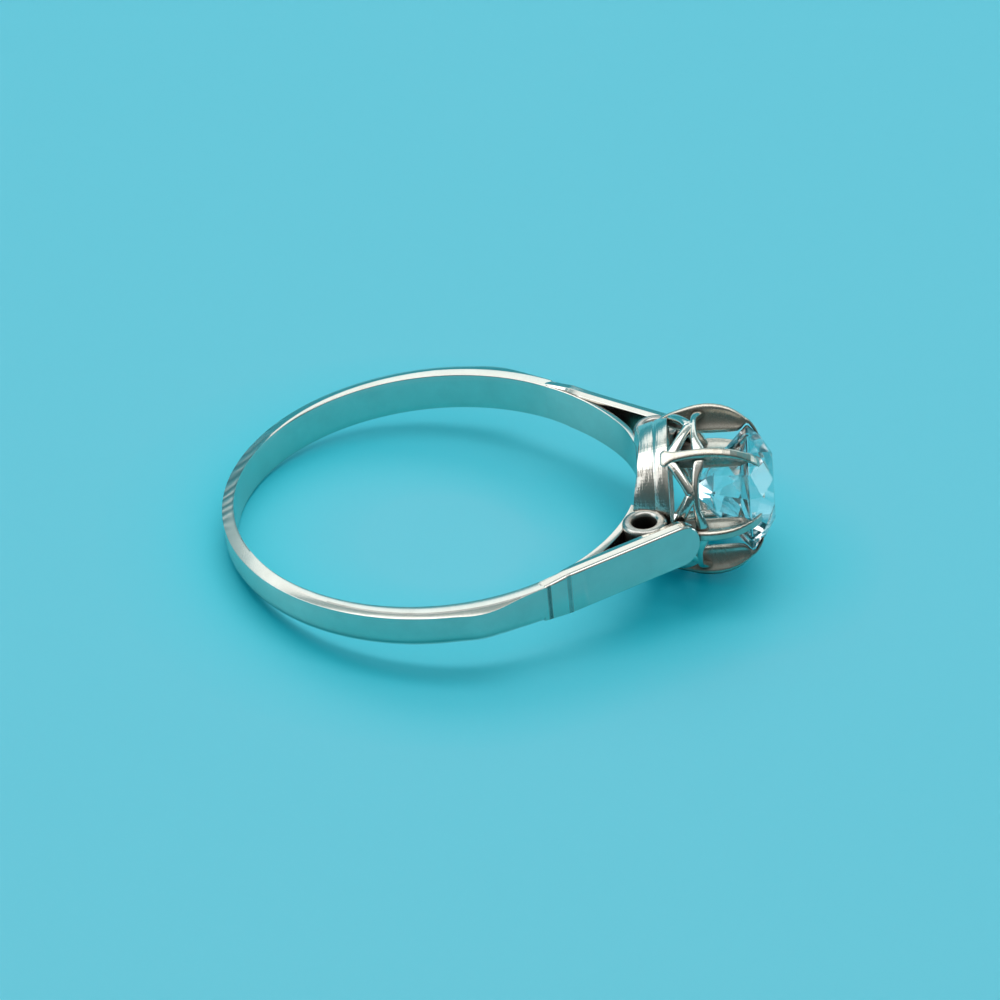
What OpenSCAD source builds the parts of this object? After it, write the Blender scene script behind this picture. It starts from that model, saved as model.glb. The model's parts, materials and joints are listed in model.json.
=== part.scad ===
// Solitaire engagement ring, lying on its side as it rests by itself.
// Sizes are in millimetres. The ring is shaped in its own frame, with the finger along Z, the finger
// hole centred on the origin and the setting towards +X, and is then tipped on to the surface.

/* [Finger hole and band] */
// Inside diameter of the band
finger_d = 17.2; // [16:0.1:19]
// Thickness of the band at the back of the finger
band_t_back = 0.5; // [0.45:0.05:0.7]
// Thickness of the band at the sides of the finger
band_t_side = 0.8; // [0.75:0.05:1]
// Width of the band, along the finger
band_w = 1.72; // [1.6:0.02:1.8]
// Width of the flat left on the band's upper side, at the back of the finger
flat_back = 0.05; // [0.02:0.01:0.1]
// Width of the flat left on the band's upper side, at the sides of the finger
flat_side = 0.48; // [0.4:0.01:0.6]
// Slope of the bevel outside that flat, in degrees
bevel_slope = 15; // [10:1:25]
// Radius to which the band's lower outer edge is rounded
band_round = 0.7; // [0.4:0.05:0.8]

/* [Shoulders] */
// Angle from the setting at which the shoulder plate leaves the round of the band, in degrees
shoulder_angle = 58; // [54:1:60]
// Distance of the plate's outer face from the middle of the finger hole
plate_face = 9.14; // [9.1:0.01:9.2]
// Thickness of the flat shoulder plate
plate_t = 0.66; // [0.6:0.02:0.72]
// Length of the shoulder plate, from the round of the band to its free end
plate_len = 7.55; // [7.4:0.05:7.8]
// Height of the shoulder plate at the band
plate_h_start = 1.8; // [1.76:0.02:1.9]
// Height of the shoulder plate past the notches
plate_h = 2; // [1.95:0.05:2.1]
// Corner radius of the plate's rounded free end
plate_end_r = 0.94; // [0.8:0.02:0.96]
// Width of the bevel along the plate's two long outer edges
plate_bevel_w = 0.39; // [0.3:0.01:0.45]
// Depth of that bevel
plate_bevel_h = 0.08; // [0.05:0.01:0.12]
// Distance of the two cross notches from the start of the plate
notch_places = [0.09, 1.12]; // [0:0.01:2]
// Depth of the cross notches
notch_depth = 0.16; // [0.1:0.02:0.24]
// Thickness of the thin inner rail that follows the finger
rail_t = 0.32; // [0.28:0.02:0.4]
// Angle from the setting at which the pierced shoulder opening starts, in degrees
opening_angle = 39.5; // [37:0.5:42]
// Outside diameter of the short tube between shoulder and collet
tube_d = 1.9; // [1.86:0.02:2]
// Bore of the short tube
tube_bore = 0.98; // [0.9:0.02:1.1]
// Height of the short tube
tube_h = 2; // [1.8:0.05:2.2]

/* [Setting] */
// Height of the collet's rim above the finger hole
collet_rim_z = 1.4; // [1.35:0.01:1.45]
// Outside radius of the collet at its rim
collet_rim_r = 3.2; // [3.15:0.01:3.25]
// Outside radius of the collet level with the finger hole
collet_base_r = 2.76; // [2.7:0.01:2.8]
// Wall thickness of the collet
collet_t = 0.5; // [0.4:0.05:0.6]
// Relief of the collet behind the finger hole
collet_relief = 0.22; // [0.2:0.01:0.26]
// Largest radius of the claws' bulging outline
claw_bulge_r = 3.64; // [3.6:0.01:3.7]
// Number of claws
claw_count = 6; // [6]
// Width of each claw blade
claw_w = 0.5; // [0.45:0.01:0.6]
// Radius of the inner edge of the claw blades
claw_inner_r = 2.35; // [2.3:0.01:2.45]
// Width of the pierced gallery's slanting arms
arm_w = 0.32; // [0.28:0.01:0.36]
// Lowest and highest level of the gallery's rail above the finger hole
gallery_rail_z = [2.31, 2.64]; // [2.2:0.01:2.8]
// Wall thickness of the gallery
gallery_t = 0.4; // [0.35:0.01:0.45]

/* [Stone] */
// Diameter of the stone across its girdle
stone_d = 5.3; // [5.2:0.05:5.35]
// Height of the girdle's lower edge above the finger hole
girdle_z = 4.68; // [4.6:0.01:4.75]
// Thickness of the girdle
girdle_t = 0.1; // [0.08:0.01:0.12]
// Height of the crown, from the girdle to the table
crown_h = 0.95; // [0.9:0.01:1]
// Depth of the pavilion, from the girdle to the culet
pavilion_h = 2.33; // [2.2:0.01:2.4]
// Radius of the table
table_r = 1.4; // [1.3:0.01:1.45]
// Radius of the small flat culet
culet_r = 0.18; // [0.1:0.01:0.25]
// Gap between the stone and the claws
stone_gap = 0.04; // [0.03:0.01:0.05]

/* [Hidden] */

white_metal = [0.84, 0.83, 0.81];
clear_stone = [0.86, 0.95, 0.97, 0.5];
$fn = 96;
// Overlap that joins soldered pieces into one solid
solder = 0.05;
// A length that reaches past the whole ring
far = 40;

finger_r = finger_d / 2;

// The band thins towards the back, because its outside is a circle about a point nearer the setting.
// These give the radius and the centre of a circle with such a thickness at the back and at the sides.
function off_radius(back, side) = (finger_r + back + pow(finger_r + side, 2) / (finger_r + back)) / 2;
function off_centre(back, side) = off_radius(back, side) - finger_r - back;
band_r = off_radius(band_t_back, band_t_side);
band_x = off_centre(band_t_back, band_t_side);
flat_r = off_radius(flat_back, flat_side);
flat_x = off_centre(flat_back, flat_side);

plate_back = plate_face - plate_t;
rail_r = finger_r + rail_t;
tube_r = tube_d / 2;
// The tube stands this far off the finger hole, and is sunk this far into the back of the shoulder plate
tube_stand_off = 0.03;
tube_sink = 0.18;
tube_reach = finger_r + tube_r + tube_stand_off;
tube_angle = shoulder_angle - acos((plate_back - tube_r + tube_sink) / tube_reach);
rail_end_angle = asin(collet_base_r / finger_r) - 4;

// Heights along the setting's axis, measured from the ring's centre
rim_x = finger_r + collet_rim_z;
gallery_low_x = finger_r + gallery_rail_z[0];
gallery_top_x = finger_r + gallery_rail_z[1];
girdle_x = finger_r + girdle_z;
crown_x = girdle_x + girdle_t;
table_x = crown_x + crown_h;
culet_x = girdle_x - pavilion_h;
collet_slope = (collet_rim_r - collet_base_r) / collet_rim_z;
// The collet starts this far behind the finger hole's nearest point, before it is cut to the finger
collet_back = 0.7;

// The claws' outline is an arc about a point between the setting's axis and its outside
outline_r = 2.67;
outline_x = finger_r + 2.92;
outline_centre_r = claw_bulge_r - outline_r;
outline_start = -asin((outline_x - rim_x) / outline_r);
outline_end = 49;
outline_steps = 9;
function outline_point(a) = [outline_centre_r + outline_r * cos(a), outline_x + outline_r * sin(a)];
function outline_at(x) = outline_centre_r + sqrt(pow(outline_r, 2) - pow(x - outline_x, 2));
gallery_inset = 0.2;

// A gallery arm climbs from a claw's root to the rail, half way to the next claw
half_pitch = 180 / claw_count;
arm_run = PI * collet_rim_r * half_pitch / 180;
arm_rise = (gallery_low_x + gallery_top_x) / 2 - rim_x;
arm_angle = atan2(arm_rise, arm_run);
arm_half = arm_w / 2 / cos(arm_angle);
function arm_x(t) = rim_x + t * tan(arm_angle);
function arm_t(x) = (x - rim_x) / tan(arm_angle);

// The brilliant's corners: eight mains, with sixteen corners on the girdle
stone_r = stone_d / 2;
mains = 8;
main_step = 360 / mains;
star_share = 0.5;
lower_share = 0.3;
star_r = (table_r + (stone_r - table_r) * star_share) / cos(main_step / 2);
star_x = table_x - crown_h * star_share;
lower_r = (culet_r + (stone_r - culet_r) * lower_share) / cos(main_step / 2);
lower_x = culet_x + pavilion_h * lower_share;

// The ring rests on the gallery's rail, half way between two claws, and on the band's rounded lower edge
// at the back. round_x and round_z are that edge's centre.
round_x = band_x - band_r + band_round;
round_z = band_round - band_w / 2;
rail_reach = outline_at(gallery_top_x) - gallery_inset;
function next_tilt(t) = asin(((rail_reach + round_z) * cos(t) - band_round) / (gallery_top_x - round_x));
rest_tilt = next_tilt(next_tilt(next_tilt(7)));
rest_lift = band_round - round_x * sin(rest_tilt) - round_z * cos(rest_tilt);
// Half way between the back of the band and the stone's table, so that the origin is under the middle
rest_shift = (finger_r + band_t_back - table_x) / 2 * cos(rest_tilt);

// Points on a circle of radius r at height x, for the stone
function stone_ring(r, x, count, turn) = [
    for (i = [0:count - 1]) let (a = turn + 360 * i / count) [r * cos(a), r * sin(a), x]
];

module tipped_to_rest() {
    translate([rest_shift, 0, rest_lift])
        rotate([0, -rest_tilt, 0])
            children();
}

// Turns a shape made about Z so that its axis is the setting's, along +X
module on_setting_axis() {
    rotate([0, 90, 0])
        children();
}

module both_sides() {
    children();
    mirror([0, 1, 0])
        children();
}

module sector(from, to) {
    polygon([[0, 0], far * [cos(from), sin(from)], far * [cos(to), sin(to)]]);
}

// The band's outside in section: upright, with its lower edge rounded
module band_section() {
    translate([0, -band_w / 2])
        square([band_r - band_round, band_w]);
    translate([0, round_z])
        square([band_r, band_w / 2 - round_z]);
    translate([band_r - band_round, round_z])
        circle(r = band_round);
}

// The band: one piece round the back of the finger, bevelled above and rounded below
module band() {
    slope_run = band_w / tan(bevel_slope);
    color(white_metal)
        intersection() {
            translate([band_x, 0, 0])
                rotate_extrude()
                    band_section();
            translate([flat_x, 0, 0])
                cylinder(h = band_w, r1 = flat_r + slope_run, r2 = flat_r, center = true);
            linear_extrude(height = 2 * band_w, center = true)
                difference() {
                    intersection_for (side = [-1, 1])
                        rotate(side * shoulder_angle)
                            translate([-far, -far])
                                square([far + plate_face, 2 * far]);
                    sector(-shoulder_angle, shoulder_angle);
                }
        }
}

// The inner rail and the solid fork where it leaves the shoulder plate
module rail_and_fork() {
    color(white_metal)
        linear_extrude(height = plate_h_start, center = true)
            difference() {
                intersection() {
                    sector(rail_end_angle, shoulder_angle);
                    rotate(shoulder_angle)
                        translate([0, -far / 2])
                            square([plate_back + solder, far]);
                    circle(r = plate_face);
                }
                difference() {
                    sector(0, opening_angle);
                    circle(r = rail_r);
                }
                circle(r = finger_r);
            }
}

// The shoulder plate seen square on: a strip with a rounded end
module plate_outline() {
    straight = plate_len - plate_end_r;
    corner_z = plate_h / 2 - plate_end_r;
    polygon([
        [-solder, -plate_h_start / 2],
        [notch_places[1], -plate_h / 2],
        [straight, -plate_h / 2],
        [straight, plate_h / 2],
        [notch_places[1], plate_h / 2],
        [-solder, plate_h_start / 2]
    ]);
    for (side = [-1, 1])
        translate([straight, side * corner_z])
            circle(r = plate_end_r);
    translate([straight - solder, -corner_z])
        square([plate_end_r + solder, 2 * corner_z]);
}

// The straight shoulder plate, bevelled along its outer edges, with a rounded free end
module shoulder_plate() {
    edge = plate_face - plate_bevel_w;
    top = plate_h / 2;
    face_z = top - plate_bevel_h;
    color(white_metal)
        rotate([0, 0, shoulder_angle])
            difference() {
                intersection() {
                    translate([plate_back, 0, 0])
                        rotate([90, 0, 90])
                            linear_extrude(height = plate_t)
                                mirror([1, 0, 0])
                                    plate_outline();
                    rotate([90, 0, 0])
                        linear_extrude(height = far, center = true)
                            polygon([
                                [plate_back, -top],
                                [edge, -top],
                                [plate_face, -face_z],
                                [plate_face, face_z],
                                [edge, top],
                                [plate_back, top]
                            ]);
                }
                for (place = notch_places)
                    translate([plate_face, -place, 0])
                        rotate([0, 0, 45])
                            cube([notch_depth * sqrt(2), notch_depth * sqrt(2), far], center = true);
            }
}

// The short tube that fills the end of the opening, beside the collet
module shoulder_tube() {
    color(white_metal)
        rotate([0, 0, tube_angle])
            translate([tube_reach, 0, 0])
                cylinder(r = tube_r, h = tube_h, center = true);
}

module tube_hole() {
    rotate([0, 0, tube_angle])
        translate([tube_reach, 0, 0])
            cylinder(d = tube_bore, h = far, center = true);
}

// The flared collet under the setting, hollow, and cut behind to the curve of the finger
module collet() {
    base_x = finger_r - collet_back;
    base_r = collet_base_r - collet_slope * collet_back;
    groove_x = finger_r + collet_rim_z / 2;
    groove_r = collet_base_r + collet_slope * collet_rim_z / 2;
    groove = 0.08;
    color(white_metal)
        difference() {
            on_setting_axis()
                rotate_extrude()
                    polygon([
                        [base_r - collet_t, base_x],
                        [base_r, base_x],
                        [groove_r - groove * collet_slope, groove_x - groove],
                        [groove_r - groove, groove_x],
                        [groove_r + groove * collet_slope, groove_x + groove],
                        [collet_rim_r, rim_x],
                        [collet_rim_r - collet_t, rim_x]
                    ]);
            cylinder(r = finger_r + collet_relief, h = far, center = true);
        }
}

// Cuts through the gallery's wall round the setting's axis, from a figure of arc length and height
module pierced(angle) {
    on_setting_axis()
        rotate([0, 0, angle])
            translate([collet_rim_r, 0, 0])
                rotate([90, 0, 90])
                    linear_extrude(height = 2, center = true)
                        children();
}

// The pierced gallery: slanting arms that rise in pairs from the claws' roots to a rail
module gallery() {
    edge_x = rim_x + 0.1;
    edge_t = arm_t(edge_x + arm_half);
    peak_x = arm_x(arm_run) - arm_half;
    flank = claw_w / 2;
    foot_x = arm_x(flank) + arm_half;
    shoulder_t = arm_t(gallery_low_x - arm_half);
    levels = [rim_x - solder, rim_x + 0.45, rim_x + 0.9, gallery_top_x];
    color(white_metal)
        difference() {
            on_setting_axis()
                rotate_extrude()
                    polygon(concat(
                        [for (x = levels) [outline_at(x) - gallery_inset, x]],
                        [for (i = [3:-1:0]) [outline_at(levels[i]) - gallery_inset - gallery_t, levels[i]]]
                    ));
            for (i = [0:claw_count - 1]) {
                pierced((2 * i + 1) * half_pitch)
                    polygon([[edge_t - arm_run, edge_x], [arm_run - edge_t, edge_x], [0, peak_x]]);
                for (side = [-1, 1])
                    pierced(2 * i * half_pitch)
                        polygon([
                            [side * flank, foot_x],
                            [side * shoulder_t, gallery_low_x],
                            [side * flank, gallery_low_x]
                        ]);
            }
        }
}

// The claws: six upright blades with a bulging outline, whose tips close over the stone's crown
module claws() {
    tip_x = table_x - 0.5;
    color(white_metal)
        difference() {
            intersection() {
                on_setting_axis()
                    rotate_extrude()
                        polygon(concat(
                            [
                                for (i = [0:outline_steps])
                                    let (a = outline_start + (outline_end - outline_start) * i / outline_steps)
                                        outline_point(a)
                            ],
                            [
                                [table_r + 1.05, tip_x - 0.11],
                                [table_r + 0.8, tip_x],
                                [table_r + 0.5, tip_x - 0.03],
                                [claw_inner_r, girdle_x],
                                [claw_inner_r, gallery_top_x],
                                [collet_rim_r - collet_t, rim_x]
                            ]
                        ));
                union()
                    for (i = [0:claw_count / 2 - 1])
                        rotate([i * 360 / claw_count, 0, 0])
                            translate([0, -far / 2, -claw_w / 2])
                                cube([far, far, claw_w]);
            }
            stone_seat();
        }
}

// The room that the stone takes between the claws
module stone_seat() {
    on_setting_axis()
        rotate_extrude()
            polygon([
                [0, culet_x - stone_gap],
                [culet_r + stone_gap, culet_x - stone_gap],
                [lower_r + stone_gap, lower_x],
                [stone_r + stone_gap, girdle_x],
                [stone_r + stone_gap, crown_x],
                [star_r + stone_gap, star_x],
                [table_r + stone_gap, table_x + stone_gap],
                [0, table_x + stone_gap]
            ]);
}

// The metal of the ring, soldered into one solid
module mounting() {
    tipped_to_rest()
        color(white_metal)
            difference() {
                union() {
                    band();
                    both_sides() {
                        rail_and_fork();
                        shoulder_plate();
                        shoulder_tube();
                    }
                    collet();
                    gallery();
                    claws();
                }
                cylinder(r = finger_r, h = far, center = true);
                both_sides()
                    tube_hole();
            }
}

// The diamond: round brilliant with table, stars, mains, girdle facets, pavilion mains and culet
module diamond() {
    half = main_step / 2;
    corners = concat(
        stone_ring(table_r, table_x, mains, 0),
        stone_ring(star_r, star_x, mains, half),
        stone_ring(stone_r, crown_x, 2 * mains, 0),
        stone_ring(stone_r, girdle_x, 2 * mains, 0),
        stone_ring(lower_r, lower_x, mains, half),
        stone_ring(culet_r, culet_x, mains, half)
    );
    star = mains;
    top = 2 * mains;
    base = 4 * mains;
    lower = 6 * mains;
    culet = 7 * mains;
    ring_end = 2 * mains;
    facets = concat(
        [[for (i = [mains - 1:-1:0]) i]],
        [[for (i = [0:mains - 1]) culet + i]],
        [for (i = [0:mains - 1]) [i, (i + 1) % mains, star + i]],
        [for (i = [0:mains - 1]) [i, star + i, top + 2 * i, star + (i + mains - 1) % mains]],
        [for (i = [0:mains - 1]) [star + i, top + 2 * i + 1, top + 2 * i]],
        [for (i = [0:mains - 1]) [star + i, top + (2 * i + 2) % ring_end, top + 2 * i + 1]],
        [
            for (j = [0:ring_end - 1])
                let (k = (j + 1) % ring_end) [top + j, top + k, base + k, base + j]
        ],
        [for (i = [0:mains - 1]) [lower + i, base + 2 * i, base + 2 * i + 1]],
        [for (i = [0:mains - 1]) [lower + i, base + 2 * i + 1, base + (2 * i + 2) % ring_end]],
        [
            for (i = [0:mains - 1])
                let (h = (i + mains - 1) % mains) [base + 2 * i, lower + i, culet + i, culet + h, lower + h]
        ]
    );
    tipped_to_rest()
        color(clear_stone)
            on_setting_axis()
                polyhedron(points = corners, faces = facets);
}

mounting();
diamond();
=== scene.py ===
import json
import math

import bmesh
import bpy
from mathutils import Matrix, Vector


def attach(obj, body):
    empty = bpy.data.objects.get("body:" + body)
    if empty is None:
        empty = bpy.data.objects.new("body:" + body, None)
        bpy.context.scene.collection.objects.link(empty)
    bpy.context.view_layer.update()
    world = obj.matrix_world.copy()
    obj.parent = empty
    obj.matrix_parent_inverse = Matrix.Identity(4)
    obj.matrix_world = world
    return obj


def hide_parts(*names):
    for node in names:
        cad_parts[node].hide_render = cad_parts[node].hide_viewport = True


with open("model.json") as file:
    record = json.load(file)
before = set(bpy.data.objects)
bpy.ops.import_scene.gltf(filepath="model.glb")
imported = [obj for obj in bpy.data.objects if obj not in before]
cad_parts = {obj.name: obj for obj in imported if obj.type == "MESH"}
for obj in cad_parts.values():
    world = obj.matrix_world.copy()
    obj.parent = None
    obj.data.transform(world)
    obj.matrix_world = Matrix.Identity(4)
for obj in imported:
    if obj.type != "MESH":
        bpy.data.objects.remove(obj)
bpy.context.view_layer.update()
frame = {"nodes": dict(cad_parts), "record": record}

# The finger hole, which everything else is built round. The ring is shaped in millimetres in its own
# frame, with the finger along Z and the setting towards +X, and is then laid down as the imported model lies.
finger_hole = frame["record"]["mounts"][0]
finger_r = finger_hole["dims"]["r_mm"]
rest_tilt = math.atan2(-finger_hole["axis"][0], finger_hole["axis"][2])
rest_turn = Matrix.Rotation(-rest_tilt, 4, "Y")
laid_down = Matrix.Translation(finger_hole["pos_m"]) @ rest_turn @ Matrix.Scale(0.001, 4)


# White metal. An old high polish with fine scratches, a slight hand-finished waviness, and dark tarnish
# left where a polishing cloth can't reach, with painted shade: ambient occlusion darkens the colour wherever
# nearby walls shelter it. Each piece of the mounting has it with its own values.
def node_group(name, inputs, outputs):
    group = bpy.data.node_groups.new(name, "ShaderNodeTree")
    for label, kind, value in inputs:
        socket = group.interface.new_socket(label, in_out="INPUT", socket_type=kind)
        if value is not None:
            socket.default_value = value
    for label, kind in outputs:
        group.interface.new_socket(label, in_out="OUTPUT", socket_type=kind)
    return group, group.nodes.new("NodeGroupInput").outputs, group.nodes.new("NodeGroupOutput").inputs


def add_node(tree, kind, settings=(), **values):
    """A node with these settings, and with these values or links on its inputs."""
    node = tree.nodes.new("ShaderNode" + kind)
    for label, value in dict(settings).items():
        setattr(node, label, value)
    for label, value in values.items():
        label = label.replace("_", " ")
        socket = node.inputs[int(label[5:])] if label.startswith("input") else node.inputs[label]
        if isinstance(value, bpy.types.NodeSocket):
            tree.links.new(value, socket)
        else:
            socket.default_value = value
    return node


def scratch_group():
    """Fine scratches in two directions and a slow waviness, with a mask of where they are dense."""
    tree, given, out = node_group(
        "fine scratches",
        [("Coordinates", "NodeSocketVector", None), ("Across", "NodeSocketVector", (1.0, 1.0, 1.0)),
         ("Waviness", "NodeSocketFloat", 3.0)],
        [("Height", "NodeSocketFloat"), ("Density", "NodeSocketFloat")])
    stretched = add_node(tree, "VectorMath", {"operation": "MULTIPLY"}, input0=given["Coordinates"],
                         input1=given["Across"])
    lines = add_node(tree, "TexNoise", Vector=stretched.outputs[0], Scale=9000.0, Detail=3.0, Roughness=0.6)
    turned = add_node(tree, "Mapping", Vector=given["Coordinates"], Rotation=(0.7, 0.5, 1.1),
                      Scale=(1.0, 0.06, 0.3))
    strokes = add_node(tree, "TexNoise", Vector=turned.outputs[0], Scale=12000.0, Detail=2.0)
    waves = add_node(tree, "TexNoise", Vector=given["Coordinates"], Scale=520.0, Detail=1.0)
    both = add_node(tree, "Math", {"operation": "ADD"}, input0=lines.outputs[0], input1=strokes.outputs[0])
    total = add_node(tree, "Math", {"operation": "MULTIPLY_ADD"}, input0=waves.outputs[0],
                     input1=given["Waviness"], input2=both.outputs[0])
    patches = add_node(tree, "TexNoise", Vector=given["Coordinates"], Scale=900.0, Detail=4.0, Roughness=0.65)
    tree.links.new(total.outputs[0], out["Height"])
    tree.links.new(patches.outputs[0], out["Density"])
    return tree


def tarnish_and_shade_group():
    """Where tarnish and painted shade lie: in sheltered places, broken up in patches."""
    tree, given, out = node_group(
        "tarnish in shelter",
        [("Coordinates", "NodeSocketVector", None), ("Openness", "NodeSocketFloat", 1.0),
         ("Clean above", "NodeSocketFloat", 0.6), ("Dark below", "NodeSocketFloat", 0.2)],
        [("Amount", "NodeSocketFloat")])
    patches = add_node(tree, "TexNoise", Vector=given["Coordinates"], Scale=1400.0, Detail=3.0)
    spread = add_node(tree, "Math", {"operation": "MULTIPLY_ADD"}, input0=patches.outputs[0], input1=0.3,
                      input2=-0.15)
    broken = add_node(tree, "Math", {"operation": "ADD"}, input0=given["Openness"], input1=spread.outputs[0])
    amount = add_node(tree, "MapRange", {"interpolation_type": "SMOOTHSTEP"}, Value=broken.outputs[0],
                      From_Min=given["Clean above"], From_Max=given["Dark below"])
    tree.links.new(amount.outputs[0], out["Amount"])
    return tree


scratches, tarnish_and_shade = scratch_group(), tarnish_and_shade_group()
clean_metal = (0.76, 0.725, 0.67, 1.0)
dull_metal = (0.62, 0.58, 0.52, 1.0)
# Near black, for tarnish and for painted shade in sheltered places.
black_tarnish_and_shade = (0.035, 0.018, 0.012, 1.0)


def white_metal(name, roughness=0.14, across=(1.0, 1.0, 1.0), depth=0.0000012, waviness=3.0, clear_above=0.62,
                dark=0.18, reach=0.0007, dull=dull_metal):
    """Polished white metal. Its lines run across the axes that have large numbers in across. Tarnish and painted
    shade darken it where walls within reach leave it less open than its upper threshold, and are full where they
    leave it less open than dark."""
    material = bpy.data.materials.new(name)
    material.use_nodes = True
    tree = material.node_tree
    shader = tree.nodes["Principled BSDF"]
    place = add_node(tree, "TexCoord").outputs["Object"]
    level = add_node(tree, "Mapping", Vector=place, Rotation=(0.0, rest_tilt, 0.0)).outputs[0]
    marks = add_node(tree, "Group", {"node_tree": scratches}, Coordinates=level, Across=across,
                     Waviness=waviness)
    # Painted shade: ambient occlusion from nearby walls darkens the colour towards black, together with the
    # tarnish.
    shelter = add_node(tree, "AmbientOcclusion", {"samples": 8}, Distance=reach)
    tarnish_shade_amount = add_node(tree, "Group", {"node_tree": tarnish_and_shade}, Coordinates=level,
                    Openness=shelter.outputs["AO"], Clean_above=clear_above, Dark_below=dark)
    # The dull patches are wear on most pieces; on the tubes, the claws' flanks and the band's crease they are
    # painted shade as well.
    wear_and_shade = add_node(tree, "Mix", {"data_type": "RGBA"}, Factor=marks.outputs["Density"])
    wear_and_shade.inputs[6].default_value, wear_and_shade.inputs[7].default_value = clean_metal, dull
    tarnished_and_shaded = add_node(tree, "Mix", {"data_type": "RGBA"}, Factor=tarnish_shade_amount.outputs[0])
    tree.links.new(wear_and_shade.outputs[2], tarnished_and_shaded.inputs[6])
    tarnished_and_shaded.inputs[7].default_value = black_tarnish_and_shade
    rough = add_node(tree, "MapRange", Value=marks.outputs["Density"], To_Min=roughness * 0.7,
                     To_Max=roughness * 1.4)
    matt = add_node(tree, "Math", {"operation": "MULTIPLY_ADD"}, input0=tarnish_shade_amount.outputs[0], input1=0.35,
                    input2=rough.outputs[0])
    relief = add_node(tree, "Bump", Height=marks.outputs["Height"], Strength=1.0, Distance=depth)
    tree.links.new(tarnished_and_shaded.outputs[2], shader.inputs["Base Color"])
    tree.links.new(matt.outputs[0], shader.inputs["Roughness"])
    tree.links.new(relief.outputs[0], shader.inputs["Normal"])
    shader.inputs["Metallic"].default_value = 1.0
    return material


# The band. One strip of metal round the back of the finger, flat on its upper side, with a shallow bevel
# outside that flat and a lower outer edge worn round. Its upper flat narrows to nothing towards the back, and
# at both ends it runs on into the shoulders. The tables give sizes by the angle from the setting, in degrees.
band_start, band_steps = 58, 200
shoulder_angle = math.radians(band_start)
plate_face = 9.14
band_top = 0.86
circle_shift, circle_r = 0.305, 9.405
easing_start, easing_length = 0.45, 0.33
band_roundings = [(58, 0.3), (64, 0.45), (72, 0.75), (80, 0.8), (95, 0.7), (181, 0.7)]
rounding_steps = 12
inner_corners = [(58, 0.045), (138, 0.045), (150, 0.003), (181, 0.003)]
low_corner = 0.06
flat_widths = [(58, 0.5), (75, 0.5), (92, 0.47), (100, 0.41), (110, 0.35), (120, 0.29), (130, 0.23),
               (140, 0.15), (148, 0.08), (152, 0.0), (181, 0.0)]
bevel_angle = math.radians(14)
bevel_slope = math.tan(bevel_angle)
crease_width = 0.08
outer_edge_r = 0.015
# Angles along which the band's crease is painted darker: dirt with a painted dark reflection.
crease_shade_span = (60, 118)
# From this angle the back's upper faces are worn and carry a painted dark teal reflection.
teal_back_from = 138


def rounded(corners, steps=3):
    """The outline through these corners, each given as two coordinates and the radius it is rounded to."""
    outline = []
    for i, (a, b, radius) in enumerate(corners):
        here = Vector((a, b))
        back = (Vector(corners[i - 1][:2]) - here).normalized()
        ahead = (Vector(corners[(i + 1) % len(corners)][:2]) - here).normalized()
        half = back.angle(ahead) / 2
        centre = here + (back + ahead).normalized() * radius / math.sin(half)
        start = here + back * radius / math.tan(half) - centre
        end = here + ahead * radius / math.tan(half) - centre
        for k in range(steps + 1):
            outline.append(centre + start.slerp(end, k / steps).normalized() * radius)
    return outline


def skinned(sections):
    """A closed solid drawn through sections that have the same number of corners."""
    bm = bmesh.new()
    face = bm.faces.new([bm.verts.new(point) for point in sections[0]])
    for section in sections[1:]:
        grown = bmesh.ops.extrude_face_region(bm, geom=[face])["geom"]
        face = next(part for part in grown if isinstance(part, bmesh.types.BMFace))
        for vert, point in zip(face.verts, section):
            vert.co = point
    return bm


def settled(name, bm, materials, sharp=40.0, rounder=0):
    """Lays a piece of the mounting down where the ring lies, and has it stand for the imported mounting."""
    bmesh.ops.remove_doubles(bm, verts=bm.verts, dist=0.0005)
    bmesh.ops.recalc_face_normals(bm, faces=bm.faces)
    for face in bm.faces:
        face.smooth = True
    for edge in bm.edges:
        edge.smooth = edge.is_manifold and edge.calc_face_angle() < math.radians(sharp)
    bm.transform(laid_down)
    mesh = bpy.data.meshes.new(name)
    bm.to_mesh(mesh)
    bm.free()
    piece = bpy.data.objects.new(name, mesh)
    bpy.context.scene.collection.objects.link(piece)
    for material in materials:
        mesh.materials.append(material)
    if rounder:
        soft = piece.modifiers.new("soft forms", "SUBSURF")
        soft.levels = soft.render_levels = rounder
    else:
        even = piece.modifiers.new("even shading", "WEIGHTED_NORMAL")
        even.keep_sharp = True
    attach(piece, "root")
    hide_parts("mounting")
    return piece


def between(table, value):
    """Reads a table of pairs at a value, on straight lines between its rows."""
    for (a, low), (b, high) in zip(table, table[1:]):
        if value <= b:
            share = max(0.0, (value - a) / (b - a))
            return low + (high - low) * share
    return table[-1][1]


def band_outside(angle):
    """Outer radius of the band: a circle set nearer the setting, easing into the shoulder's flat."""
    across = circle_shift * math.sin(angle)
    circle = circle_shift * math.cos(angle) + math.sqrt(circle_r**2 - across**2)
    turn = angle - shoulder_angle
    if turn > easing_start:
        return circle
    share = min(1.0, (easing_start - turn) / easing_length)
    share = share * share * (3 - 2 * share)
    return circle + (plate_face / math.cos(turn) - circle) * share


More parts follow.
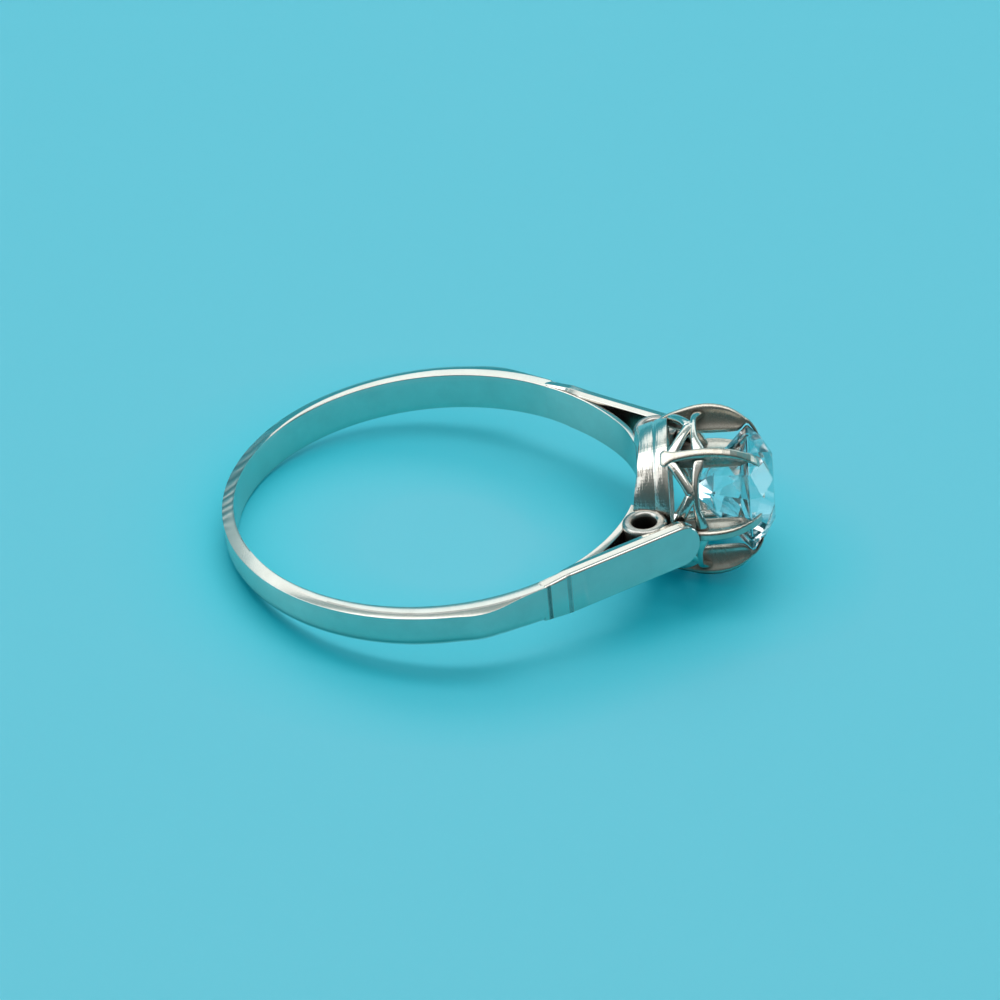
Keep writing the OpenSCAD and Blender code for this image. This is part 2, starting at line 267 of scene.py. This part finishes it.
def band_section(angle):
    """The band's outline at this angle from the setting, as points of radius and height."""
    outside = band_outside(angle)
    degrees = math.degrees(angle)
    corner = between(inner_corners, degrees)
    flat = finger_r + max(between(flat_widths, degrees), 1.2 * corner + 0.002)
    lead = min(0.018, (flat - finger_r - corner) / 2)
    rounding = between(band_roundings, degrees)
    centre_r, centre_z = outside - rounding, rounding - band_top
    end = math.acos(min(1.0, max(0.0, (finger_r + low_corner - centre_r) / rounding)))
    low_z = centre_z - rounding * math.sin(end)
    points = []
    for k in range(rounding_steps + 1):
        a = end * k / rounding_steps
        points.append((centre_r + rounding * math.cos(a), centre_z - rounding * math.sin(a)))
    points += [(finger_r + 0.025, low_z + 0.008), (finger_r + 0.006, low_z + 0.025),
               (finger_r, low_z + low_corner)]
    points += [(finger_r, low_z + (band_top - low_z) * k / 5) for k in (1, 2, 3, 4)]
    points += [(finger_r, band_top - corner), (finger_r + 0.13 * corner, band_top - 0.5 * corner),
               (finger_r + 0.5 * corner, band_top - 0.13 * corner), (finger_r + corner, band_top)]
    crease = min(crease_width, (outside - flat) * 0.4)
    points += [(flat - lead, band_top), (flat, band_top - 0.001),
               (flat + crease, band_top - crease * bevel_slope)]
    edge = min(outer_edge_r, (outside - flat) * 0.55)
    last = outside - edge + edge * math.sin(bevel_angle)
    edge_z = band_top - (last - flat) * bevel_slope - edge * math.cos(bevel_angle)
    for k in range(6):
        a = (math.pi / 2 - bevel_angle) * (1 - k / 5)
        points.append((outside - edge + edge * math.cos(a), edge_z + edge * math.sin(a)))
    return points


def round_the_finger(points, angle, side=1):
    return [Vector((r * math.cos(angle), side * r * math.sin(angle), z)) for r, z in points]


band_sections = []
for k in range(band_steps + 1):
    turn = math.radians(band_start + (360 - 2 * band_start) * k / band_steps)
    from_setting = min(turn, 2 * math.pi - turn)
    band_sections.append(round_the_finger(band_section(from_setting), turn))
band = skinned(band_sections)
band.normal_update()
for face in band.faces:
    middle = face.calc_center_median()
    turn = math.degrees(math.atan2(-middle.y, middle.x))
    from_flat = math.hypot(middle.x, middle.y) - finger_r - between(flat_widths, turn)
    # The crease beside the upper flat takes the darker, duller metal: dirt there and a painted dark reflection.
    in_crease = 0.0 < from_flat < crease_width and middle.z > band_top - 0.04
    if in_crease and crease_shade_span[0] < turn < crease_shade_span[1]:
        face.material_index = 1
    # The back's upper faces take the worn metal with a painted teal reflection.
    if abs(turn) > teal_back_from and middle.z > band_top - 0.25 and abs(face.normal.z) > 0.8:
        face.material_index = 2


def add_worn_marks_and_teal_tint(material):
    """Short slanting marks across the back of the band, where it has worn against other things, with a painted
    dark teal reflection drawn into the colour there.
    """
    tree = material.node_tree
    shader = tree.nodes["Principled BSDF"]
    place = add_node(tree, "TexCoord").outputs["Object"]
    slanted = add_node(tree, "Mapping", Vector=place, Rotation=(0.0, 0.0, math.radians(-38)))
    strokes = add_node(tree, "TexWave", {"wave_profile": "SIN", "bands_direction": "Y"},
                       Vector=slanted.outputs[0], Scale=560.0, Distortion=9.0, Detail=2.0, Detail_Scale=0.8)
    along = add_node(tree, "SeparateXYZ", Vector=place).outputs["X"]
    at_back = add_node(tree, "MapRange", {"interpolation_type": "SMOOTHERSTEP"}, Value=along,
                       From_Min=-0.0092, From_Max=-0.0112)
    turned = add_node(tree, "Mapping", Vector=place, Rotation=(0.0, 0.0, math.radians(14)))
    past = add_node(tree, "SeparateXYZ", Vector=turned.outputs[0]).outputs["X"]
    marked = add_node(tree, "MapRange", {"interpolation_type": "SMOOTHERSTEP"}, Value=past,
                      From_Min=-0.01, From_Max=-0.0112)
    height = add_node(tree, "Math", {"operation": "MULTIPLY"}, input0=strokes.outputs["Fac"],
                      input1=marked.outputs[0])
    relief = add_node(tree, "Bump", Height=height.outputs[0], Strength=1.0, Distance=0.000011)
    matt = add_node(tree, "Math", {"operation": "MULTIPLY_ADD"}, input0=at_back.outputs[0], input1=0.16,
                    input2=shader.inputs["Roughness"].links[0].from_socket)
    tree.links.new(matt.outputs[0], shader.inputs["Roughness"])
    tree.links.new(shader.inputs["Normal"].links[0].from_socket, relief.inputs["Normal"])
    tree.links.new(relief.outputs[0], shader.inputs["Normal"])
    swing = add_node(tree, "Math", {"operation": "MULTIPLY_ADD"}, input0=strokes.outputs["Fac"],
                     input1=-0.6, input2=0.3)
    kept = add_node(tree, "Math", {"operation": "MULTIPLY_ADD"}, input0=swing.outputs[0],
                    input1=marked.outputs[0], input2=0.6)
    teal_share = add_node(tree, "Math", {"operation": "MULTIPLY"}, input0=at_back.outputs[0],
                      input1=kept.outputs[0])
    # Painted reflection: the back's colour is drawn towards a dark teal grey, varying along the marks.
    teal_tinted = add_node(tree, "Mix", {"data_type": "RGBA"}, Factor=teal_share.outputs[0])
    tree.links.new(shader.inputs["Base Color"].links[0].from_socket, teal_tinted.inputs[6])
    teal_tinted.inputs[7].default_value = (0.2, 0.26, 0.25, 1.0)
    tree.links.new(teal_tinted.outputs[2], shader.inputs["Base Color"])


polished = white_metal("polished_band", roughness=0.13, across=(0.25, 0.25, 1.6), depth=0.000001)
# A darker, duller metal for the band's crease and the plates' notches: dirt with painted shade.
crease_dirt_and_shade = white_metal("dirty_band_edge", roughness=0.3, dull=(0.3, 0.26, 0.23, 1.0))
worn_teal_back = white_metal("worn_band_back", roughness=0.13, across=(0.25, 0.25, 1.6), depth=0.000001)
add_worn_marks_and_teal_tint(worn_teal_back)
settled("band", band, [polished, crease_dirt_and_shade, worn_teal_back])


# The shoulders. On each side the band runs on as a flat tongue with a rounded end, bevelled along its upper and
# lower edges, with two fine notches filed across it, and as a thin inner rail that follows the finger. A tongue
# starts a little inside the band, and the far one's upper side leans outwards.
plate_start, plate_length = -0.12, 7.55
plate_start_half, plate_half = 0.87, 1.0
plate_back = 8.48
plate_widest = 8.75
plate_layers = [(plate_back, 0.09), (plate_back + 0.01, 0.065), (plate_back + 0.03, 0.055),
                (plate_widest - 0.02, 0.003), (plate_widest + 0.01, 0.0), (plate_face - 0.14, 0.022),
                (plate_face - 0.085, 0.036), (plate_face - 0.045, 0.058), (plate_face - 0.015, 0.09),
                (plate_face, 0.13)]
notch_places = (0.17, 1.14)
notch_half, notch_depth = 0.16, 0.035
sunk_in_band = 0.004
finger_clearance = 0.08
far_plate_lean, lean_from = 0.08, 1.3


def plate_outline(inset):
    """The tongue seen square on, as its distance along the shoulder and its height."""
    end = plate_length - inset
    start_half, half = plate_start_half - inset, plate_half - inset
    radius = half - 0.06
    return rounded([
        (plate_start, -start_half, 0.001), (notch_places[1], -half, 0.3), (end, -half, radius),
        (end, half, radius), (notch_places[1], half, 0.3), (plate_start, start_half, 0.001)
    ], 14)


def shoulder_plate(lean):
    """One tongue, with its upper side leaning outwards by this slope."""
    bm = skinned([[Vector((n, along, z)) for along, z in plate_outline(inset)] for n, inset in plate_layers])
    cuts = [0.25 * k for k in range(9)] + [3, 4, 5, 6]
    for place in notch_places:
        cuts += [place + notch_half * k / 3 for k in range(-3, 4)]
    for cut in cuts:
        bmesh.ops.bisect_plane(bm, geom=bm.verts[:] + bm.edges[:] + bm.faces[:], dist=0.0001,
                               plane_co=(0, cut, 0), plane_no=(0, 1, 0))
    for vert in bm.verts:
        n, along, z = vert.co
        for place in notch_places:
            if abs(along - place) < notch_half:
                depth = notch_depth * (0.5 + 0.5 * math.cos(math.pi * (along - place) / notch_half))
                vert.co.x = min(n, plate_face - depth)
        if along < 0.001:
            vert.co.x = min(n, plate_face - sunk_in_band)
        reach = math.sqrt(max(0.0, (finger_r + finger_clearance) ** 2 - along**2))
        if n < plate_widest - 0.03 and n < reach:
            vert.co.x = reach
    for face in bm.faces:
        # The notches take the darker, duller metal: dirt with painted shade.
        n, along, z = face.calc_center_median()
        to_notch = min(abs(along - place) for place in notch_places)
        if n > plate_face - 0.15 and to_notch < 0.7 * notch_half:
            face.material_index = 1
    for vert in bm.verts:
        n, along, z = vert.co
        z -= lean * (n - plate_back) * min(1.0, max(0.0, along - lean_from))
        vert.co = Vector((
            n * math.cos(shoulder_angle) + along * math.sin(shoulder_angle),
            n * math.sin(shoulder_angle) - along * math.cos(shoulder_angle),
            z,
        ))
    return bm


def joined(parts):
    """Several loose solids as one piece."""
    whole = bmesh.new()
    for part in parts:
        mesh = bpy.data.meshes.new("part")
        part.to_mesh(mesh)
        part.free()
        whole.from_mesh(mesh)
        bpy.data.meshes.remove(mesh)
    return whole


near_plate, far_plate = shoulder_plate(0.0), shoulder_plate(far_plate_lean)
bmesh.ops.scale(near_plate, vec=(1, -1, 1), verts=near_plate.verts)
settled("shoulder_plates", joined([near_plate, far_plate]), [polished, crease_dirt_and_shade])

rail_thickness = 0.32
rail_halves = [(0, 0.9), (48, 0.9), (58, 0.86), (62, 0.82)]
rail_spreads = [(0, 1.0), (24, 1.0), (36, 0.35), (46, 0.0), (62, 0.0)]
rail_sinks = [(0, 0.0), (57.9, 0.0), (58.1, 0.002), (62, 0.06)]
rail_slope = 0.08
rail_inner_edge, rail_outer_edge = 0.04, 0.1
rail_start, rail_end, rail_steps = 14.5, 57.9, 44
far_rail_spread = 0.2


def rail_section(degrees, spread):
    """The rail's outline, with its edges worn round. By the setting it stands off the finger by this spread."""
    half = between(rail_halves, degrees)
    away_by = spread * between(rail_spreads, degrees)
    inside = finger_r + away_by + between(rail_sinks, degrees)
    outside = finger_r + rail_thickness + away_by
    outer_half = half - rail_slope
    return rounded([(inside, -half, rail_inner_edge), (outside, -outer_half, rail_outer_edge),
                    (outside, outer_half, rail_outer_edge), (inside, half, rail_inner_edge)], 5)


def rail(side, spread):
    """A rail on one side, with its end hidden in the band."""
    places = [rail_start + (rail_end - rail_start) * k / rail_steps for k in range(rail_steps + 1)] + [58.1, 61]
    return skinned([
        round_the_finger(rail_section(degrees, spread), math.radians(degrees), side) for degrees in places
    ])


settled("inner_rails", joined([rail(-1, 0.0), rail(1, far_rail_spread)]), [polished])


# The tubes. A short length of tube is soldered in the wide end of each split shoulder, against the collet.
# Its end is worn round, and the far one was set a little nearer the stone.
tube_angle = math.radians(21.5911)
tube_reach = 9.58
tube_outside, tube_bore = 0.95, 0.49
tube_half = 1.01
far_tube_shift = 0.45


def turned_piece(profile, steps):
    """A profile of radius and height, spun all the way round."""
    bm = bmesh.new()
    face = bm.faces.new([bm.verts.new((r, 0, z)) for r, z in profile])
    bmesh.ops.spin(bm, geom=[face] + face.edges[:] + face.verts[:], cent=(0, 0, 0), axis=(0, 0, 1),
                   dvec=(0, 0, 0), angle=2 * math.pi, steps=steps, use_merge=True, use_duplicate=False)
    inside = [f for f in bm.faces if all(abs(v.co.y) < 1e-5 and v.co.x > 0 for v in f.verts)]
    bmesh.ops.delete(bm, geom=inside, context="FACES_ONLY")
    return bm


tube_profile = rounded([(tube_bore, -tube_half, 0.04), (tube_outside, -tube_half, 0.1),
                        (tube_outside, tube_half, 0.22), (tube_bore, tube_half, 0.2)], 7)
tube_x, tube_y = tube_reach * math.cos(tube_angle), tube_reach * math.sin(tube_angle)
tubes = []
for x, y in ((tube_x, -tube_y), (tube_x + far_tube_shift, tube_y)):
    tube = turned_piece(tube_profile, 64)
    bmesh.ops.translate(tube, vec=(x, y, 0), verts=tube.verts)
    tubes.append(tube)
# Painted shade: the tubes' dull patches are near black and shelter darkens them widely, dimming the tube ends.
turned_face = white_metal("turned_tube", roughness=0.24, depth=0.000002, clear_above=0.8, dark=0.3, reach=0.0012,
                          dull=(0.08, 0.075, 0.07, 1.0))
settled("tubes", joined(tubes), [turned_face])


# The collet. A flared ring under the setting, turned on a lathe, with a groove round it, and cut away behind
# to the curve of the finger. Its profile gives how far the metal stands out from a plain cone, by height.
collet_base_r, collet_rim_r = 2.76, 3.2
collet_rim_z = 1.4
collet_slope = (collet_rim_r - collet_base_r) / collet_rim_z
collet_wall = 0.5
rim_x = finger_r + collet_rim_z


def collet_radius(x):
    return collet_base_r + collet_slope * (x - finger_r)


def on_head(x, angle, radius):
    """A point of the setting, by its height, its angle from the near shoulder and its distance from the axis."""
    return Vector((x, -radius * math.cos(angle), radius * math.sin(angle)))


collet_low_x = 7.9
collet_behind = 0.22
groove_x = finger_r + 0.78
groove_depth = 0.025
collet_bulges = [(collet_low_x, 0.0), (8.4, 0.0), (8.7, 0.01), (9.0, 0.015), (9.2, 0.01),
                 (groove_x - 0.05, 0.0), (groove_x - 0.02, -groove_depth), (groove_x + 0.02, -groove_depth),
                 (groove_x + 0.05, 0.0), (9.6, 0.01), (9.8, 0.01), (rim_x - 0.06, 0.0), (rim_x - 0.02, -0.02),
                 (rim_x, -0.06)]
collet_profile = [(collet_radius(collet_low_x) - collet_wall, collet_low_x)]
collet_profile += [(collet_radius(x) + bulge, x) for x, bulge in collet_bulges]
collet_profile += [(collet_rim_r - collet_wall + 0.05, rim_x), (collet_rim_r - collet_wall, rim_x - 0.05)]
collet = turned_piece(collet_profile, 128)
for vert in collet.verts:
    across, up, x = vert.co
    place = on_head(x, math.atan2(up, across), math.hypot(across, up))
    place.x = max(place.x, math.sqrt((finger_r + collet_behind) ** 2 - place.y**2))
    vert.co = place
lathed = white_metal("lathed_collet", roughness=0.2, across=(0.5, 0.04, 0.04), depth=0.000012, waviness=0.5,
                     clear_above=0.45, dark=0.1)
settled("collet", collet, [lathed])


# The gallery. Arms climb in pairs from the claws' roots and meet in knots on a thin rail, half way between
# the claws. They were pierced out of the same metal and then rounded by hand. A flare gives how much thicker
# a bar is than its own size, by the share of its length.
claw_count = 6
claw_pitch = 2 * math.pi / claw_count
gallery_radii = [(9.9, 3.0), (10.3, 3.12), (10.7, 3.19), (11.0, 3.21), (11.2, 3.19), (11.7, 3.2)]
arm_half, arm_depth = 0.21, 0.19
arm_flare = [(0, 1.5), (0.25, 1.1), (0.7, 1.0), (1, 1.2)]
arm_low_x, arm_steps = rim_x + 0.06, 12
knot_x, knot_radius = 10.95, 3.18
knot_halves = (0.3, 0.38, 0.2)
thin_rail_x, thin_rail_climb = 11.1, 0.22
thin_rail_half, thin_rail_depth = 0.14, 0.17
thin_rail_flare = [(0, 2.2), (0.12, 1.8), (0.3, 1.15), (0.5, 1.0), (0.7, 1.15), (0.88, 1.8), (1, 2.2)]
thin_rail_steps = 24


def bar(path, half_width, half_depth, flare, sides=12):
    """A rounded bar along a path of heights and angles, lying in the gallery's wall."""
    sections = []
    for i, (x, angle) in enumerate(path):
        before, after = path[max(0, i - 1)], path[min(len(path) - 1, i + 1)]
        radius = between(gallery_radii, x)
        along = Vector((after[0] - before[0], (after[1] - before[1]) * radius)).normalized()
        across = Vector((-along.y, along.x))
        swell = between(flare, i / (len(path) - 1))
        section = []
        for k in range(sides):
            a = 2 * math.pi * k / sides
            u = math.cos(a) * half_width * swell
            w = math.sin(a) * half_depth
            squarer = 1.0 / max(abs(math.cos(a)), abs(math.sin(a))) ** 0.35
            u *= squarer
            w *= squarer
            section.append(on_head(x + across.x * u, angle + across.y * u / radius, radius + w))
        sections.append(section)
    return skinned(sections)


arms = []
for i in range(claw_count):
    root = i * claw_pitch
    for way in (-1, 1):
        path = []
        for k in range(arm_steps + 1):
            share = k / arm_steps
            path.append((arm_low_x + (knot_x - arm_low_x) * share, root + way * claw_pitch / 2 * share**0.97))
        arms.append(bar(path, arm_half, arm_depth, arm_flare))
for i in range(claw_count):
    centre = (i + 0.5) * claw_pitch
    knot = bmesh.new()
    bmesh.ops.create_icosphere(knot, subdivisions=4, radius=1.0)
    for vert in knot.verts:
        dx, ds, dr = (part * half for part, half in zip(vert.co, knot_halves))
        vert.co = on_head(knot_x + dx, centre + ds / 3.2, knot_radius + dr)
    arms.append(knot)
for i in range(claw_count):
    path = []
    for k in range(thin_rail_steps + 1):
        share = k / thin_rail_steps
        by_claw = (0.5 + 0.5 * math.cos(2 * math.pi * share)) ** 2
        path.append((thin_rail_x + thin_rail_climb * by_claw, (i + share) * claw_pitch))
    arms.append(bar(path, thin_rail_half, thin_rail_depth, thin_rail_flare))
darkened = white_metal("gallery_metal", roughness=0.15, depth=0.000002, waviness=9.0, clear_above=0.5, dark=0.12,
                       reach=0.0006)
settled("gallery", joined(arms), [darkened], rounder=1)


# The claws. Six upright blades with hollowed flanks stand on the collet with a bulging outline, and their tips
# are pushed over the crown of the stone. Each is cut inside to a seat for the girdle. A station is its inner
# and its outer point, by radius and height, and its thickness as a share of the claw's own.
claw_half = 0.25
claw_sides = 28
flank_hollow, hollow_from = 0.45, 0.4
claw_stations = [
    ((2.80, 9.60), (3.13, 9.62), 1.3), ((2.75, 9.85), (3.23, 9.86), 1.7),
    ((2.68, 10.05), (3.30, 10.04), 1.35), ((2.60, 10.25), (3.36, 10.22), 1.1),
    ((2.52, 10.5), (3.42, 10.42), 1.05), ((2.44, 10.9), (3.53, 10.82), 1.0),
    ((2.38, 11.3), (3.61, 11.2), 1.0), ((2.36, 11.7), (3.64, 11.56), 1.0),
    ((2.36, 12.1), (3.62, 11.92), 1.0), ((2.36, 12.45), (3.55, 12.28), 0.98),
    ((2.37, 12.75), (3.43, 12.62), 0.95), ((2.40, 12.95), (3.27, 12.90), 0.92),
    ((2.50, 13.10), (3.10, 13.13), 0.88), ((2.62, 13.2), (2.97, 13.28), 0.84),
    ((2.70, 13.30), (2.91, 13.36), 0.82), ((2.67, 13.42), (2.83, 13.46), 0.80),
    ((2.52, 13.52), (2.68, 13.59), 0.78), ((2.36, 13.63), (2.50, 13.70), 0.74),
    ((2.22, 13.73), (2.33, 13.78), 0.66), ((2.12, 13.79), (2.18, 13.82), 0.50)
]


def claw(turn):
    """A claw skinned through its stations."""
    sections = []
    for inner, outer, slim in claw_stations:
        inner, outer = Vector(inner), Vector(outer)
        hollow = flank_hollow * min(1.0, max(0.0, ((outer - inner).length - hollow_from) / 0.4))
        section = []
        for k in range(claw_sides):
            a = 2 * math.pi * (k + 0.5) / claw_sides
            along = math.copysign(abs(math.cos(a)) ** 0.5, math.cos(a))
            side = math.copysign(abs(math.sin(a)) ** 0.55, math.sin(a)) * claw_half * slim
            side *= 1 - hollow * max(0.0, 1 - along**2 / 0.5)
            r, x = (inner + outer) / 2 + (outer - inner) / 2 * along
            section.append(Matrix.Rotation(-turn, 3, "X") @ Vector((x, -r, side)))
        sections.append(section)
    return skinned(sections)


claws = joined([claw(i * claw_pitch) for i in range(claw_count)])
claws.normal_update()
# Faces that don't face outwards take a browner, duller metal that shelter darkens more: painted shade on the
# flanks.
for face in claws.faces:
    middle = face.calc_center_median()
    outward = Vector((0, middle.y, middle.z)).normalized()
    face.material_index = 0 if face.normal.dot(outward) > 0.5 else 1
claw_metal = white_metal("claw_metal", roughness=0.15, depth=0.000002, waviness=14.0, clear_above=0.5, dark=0.12,
                         reach=0.0006)
claw_flanks = white_metal("claw_flanks", roughness=0.24, depth=0.000003, waviness=12.0, clear_above=0.95, dark=0.25,
                          reach=0.0012, dull=(0.4, 0.33, 0.25, 1.0))
settled("claws", claws, [claw_metal, claw_flanks], sharp=180, rounder=2)


# The stone. A colourless brilliant, held by the claws alone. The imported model's own facets are cut as the real
# stone's are, so they stay and only take the finish, with a thin uneven film of grease.
def diamond_material():
    material = bpy.data.materials.new("diamond")
    material.use_nodes = True
    tree = material.node_tree
    shader = tree.nodes["Principled BSDF"]
    shader.inputs["Base Color"].default_value = (1.0, 1.0, 1.0, 1.0)
    shader.inputs["IOR"].default_value = 1.75
    shader.inputs["Transmission Weight"].default_value = 1.0
    place = add_node(tree, "TexCoord").outputs["Object"]
    grease = add_node(tree, "TexNoise", Vector=place, Scale=700.0, Detail=4.0)
    film = add_node(tree, "MapRange", Value=grease.outputs[0], From_Min=0.4, From_Max=0.7, To_Min=0.02,
                    To_Max=0.14)
    tree.links.new(film.outputs[0], shader.inputs["Roughness"])
    return material


stone = frame["nodes"]["diamond"]
stone.data.materials.clear()
stone.data.materials.append(diamond_material())


# The floor. Pale turquoise card that runs out of sight, matt and with a fine tooth. A faint turquoise glow
# is painted into it, and painted shade takes its red away where the ring shelters it, so shadows turn a deeper
# turquoise.
def card_material():
    material = bpy.data.materials.new("turquoise_card")
    material.use_nodes = True
    tree = material.node_tree
    shader = tree.nodes["Principled BSDF"]
    place = add_node(tree, "TexCoord").outputs["Object"]
    fibre = add_node(tree, "TexNoise", Vector=place, Scale=2500.0, Detail=4.0)
    tooth = add_node(tree, "Bump", Height=fibre.outputs[0], Strength=0.15, Distance=0.00001)
    # Painted shade: the card's red falls with ambient occlusion, so near the ring its shadows turn a deeper
    # turquoise.
    open_sky = add_node(tree, "AmbientOcclusion", {"samples": 16}, Distance=0.0055).outputs["AO"]
    shelter_share = add_node(tree, "Math", {"operation": "POWER"}, input0=open_sky, input1=5.0)
    red_with_painted_shade = add_node(tree, "Math", {"operation": "MULTIPLY"}, input0=shelter_share.outputs[0], input1=0.122)
    tint = add_node(tree, "CombineColor", Red=red_with_painted_shade.outputs[0], Green=0.45, Blue=0.55)
    tree.links.new(tooth.outputs[0], shader.inputs["Normal"])
    tree.links.new(tint.outputs[0], shader.inputs["Base Color"])
    # Painted light: a faint turquoise glow as emission, which lightens the card's shadows.
    shader.inputs["Emission Color"].default_value = (0.0, 0.8, 1.2, 1.0)
    shader.inputs["Emission Strength"].default_value = 0.085
    shader.inputs["Roughness"].default_value = 0.5
    shader.inputs["IOR"].default_value = 1.8
    shader.inputs["Specular IOR Level"].default_value = 0.35
    return material


floor_half = 1.5
card_sheet = bmesh.new()
bmesh.ops.create_grid(card_sheet, x_segments=1, y_segments=1, size=floor_half)
mesh = bpy.data.meshes.new("floor")
card_sheet.to_mesh(mesh)
card_sheet.free()
floor = bpy.data.objects.new("floor", mesh)
bpy.context.scene.collection.objects.link(floor)
mesh.materials.append(card_material())


# The light. Four soft boxes are there for the metal and the stone to reflect: one above, a long low one beyond
# the ring and one at each side. The card is lit by a warm key, which makes the shadows, and a turquoise fill.
# Round it all is a dim turquoise room.
scene = bpy.context.scene
scene.view_settings.view_transform = "Standard"
aim_height = 0.002


def soft_box(name, radiance, width, height, place, colour=(1.0, 1.0, 1.0), slant=0.0):
    """A rectangular light turned to the ring, that looks this bright from there. A slant raises its left end."""
    data = bpy.data.lights.new(name, "AREA")
    data.shape = "RECTANGLE"
    data.size, data.size_y = width, height
    data.energy = radiance * math.pi * width * height
    light = bpy.data.objects.new(name, data)
    scene.collection.objects.link(light)
    light.location = place
    aimed = (Vector(place) - Vector((0.0, 0.0, aim_height))).to_track_quat("Z", "Y").to_matrix()
    light.rotation_euler = (aimed @ Matrix.Rotation(slant, 3, "Z")).to_euler()
    data.color = colour
    return light


def away(elevation, distance, azimuth=0.0):
    """A place beyond the ring, as seen from the camera's side, with azimuth turning it to the right."""
    e, a = math.radians(elevation), math.radians(azimuth)
    return (distance * math.cos(e) * math.sin(a), distance * math.cos(e) * math.cos(a), distance * math.sin(e))


reflected = [
    soft_box("overhead_box", 1.8, 0.31, 0.9, (-0.13, 0.025, 0.48)),
    soft_box("far_wall", 1.05, 0.95, 0.28, away(39, 0.6, 4), (1.0, 0.94, 0.91), math.radians(10)),
    soft_box("left_window", 1.3, 0.45, 0.4, away(28, 0.6, -92)),
    soft_box("right_window", 2.0, 0.3, 0.14, away(8, 0.6, 70)),
]
for light in reflected:
    light.visible_diffuse = False
on_card = [
    soft_box("warm_key", 6.9, 0.5, 0.17, away(75, 0.5), (1.0, 0.57, 0.58)),
    soft_box("turquoise_fill", 1.0, 3.0, 3.0, (0.0, 0.0, 1.0), (0.0, 0.81, 0.79)),
]
for light in on_card:
    light.visible_glossy = light.visible_transmission = light.visible_camera = False

world = bpy.data.worlds.new("room")
scene.world = world
world.use_nodes = True
world.cycles_visibility.diffuse = False
room = world.node_tree
backdrop = room.nodes["Background"]
looking = add_node(room, "SeparateXYZ", Vector=add_node(room, "TexCoord").outputs["Generated"])


def room_side(*stops):
    """The room's colours on one side, from the floor up to overhead."""
    shade = room.nodes.new("ShaderNodeValToRGB")
    room.links.new(looking.outputs["Z"], shade.inputs["Fac"])
    ramp = shade.color_ramp
    while len(ramp.elements) < len(stops):
        ramp.elements.new(0.5)
    for element, (position, colour) in zip(ramp.elements, stops):
        element.position, element.color = position, (*colour, 1.0)
    return shade.outputs["Color"]


ceiling = (1.0, (0.4, 0.5, 0.5))
beyond = room_side((0.0, (0.04, 0.36, 0.46)), (0.4, (0.06, 0.40, 0.50)), (0.8, (0.33, 0.48, 0.5)), ceiling)
behind = room_side((0.0, (0.04, 0.12, 0.14)), (0.5, (0.08, 0.12, 0.12)), (0.8, (0.36, 0.38, 0.37)), ceiling)
side = add_node(room, "MapRange", Value=looking.outputs["Y"], From_Min=-0.25, From_Max=0.25)
both = add_node(room, "Mix", {"data_type": "RGBA"}, Factor=side.outputs[0])
room.links.new(behind, both.inputs[6])
room.links.new(beyond, both.inputs[7])
room.links.new(both.outputs[2], backdrop.inputs["Color"])


# The camera, at the angle of the photograph: low over the near side of the band, with the setting to the right.
# Its place is worked out from where the middle of the finger hole shows in the picture, ring_u and ring_v.
picture_pixels, sensor_mm = 1000, 36.0
lens_pixels = 4701.782
ring_u, ring_v = 436.779, 503.244
distance = 200.0
azimuth, elevation, roll = (math.radians(a) for a in (4.804, 34.516, -5.778))
back = Vector((math.sin(azimuth) * math.cos(elevation), -math.cos(azimuth) * math.cos(elevation),
               math.sin(elevation)))
level_right = Vector((math.cos(azimuth), math.sin(azimuth), 0.0))
level_up = back.cross(level_right)
right = level_right * math.cos(roll) + level_up * math.sin(roll)
up = -level_right * math.sin(roll) + level_up * math.cos(roll)
shift_right = (ring_u - picture_pixels / 2) / lens_pixels * distance
shift_down = (ring_v - picture_pixels / 2) / lens_pixels * distance
stand = back * distance - right * shift_right + up * shift_down
camera_data = bpy.data.cameras.new("camera")
camera_data.sensor_width = sensor_mm
camera_data.lens = lens_pixels / picture_pixels * sensor_mm
camera_data.clip_start, camera_data.clip_end = 0.01, 10.0
camera = bpy.data.objects.new("camera", camera_data)
scene.collection.objects.link(camera)
look = Matrix((right, up, back)).transposed().to_4x4()
camera.matrix_world = Matrix.Translation(laid_down @ stand) @ rest_turn @ look
scene.camera = camera

bpy.context.view_layer.update()
